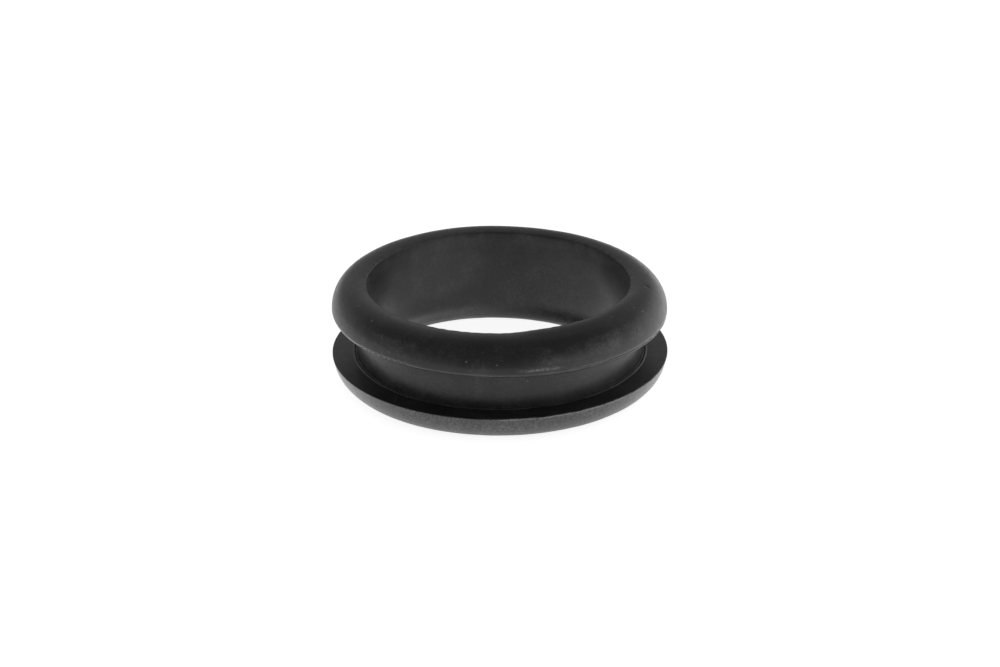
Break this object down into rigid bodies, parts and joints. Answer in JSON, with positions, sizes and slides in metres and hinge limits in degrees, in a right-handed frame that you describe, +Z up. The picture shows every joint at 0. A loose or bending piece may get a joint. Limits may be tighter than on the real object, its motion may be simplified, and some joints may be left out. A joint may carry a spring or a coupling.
{
  "type": "rubber grommet",
  "caption": "Open round rubber grommet: a neck with a groove for a panel's edge between two rounded flanges, and a plain bore through its middle.",
  "frame": {"origin": "centre of the bore, at the height of the flat foot under the lower flange", "axes": "+Z up along the bore, towards the upper flange; +X and +Y lie across the ring"},
  "size_m": [0.05, 0.05, 0.0149],
  "materials": {
    "rubber": "matte moulded"
  },
  "bodies": {
    "root": {"grommet": "rubber"}
  },
  "joints": []
}
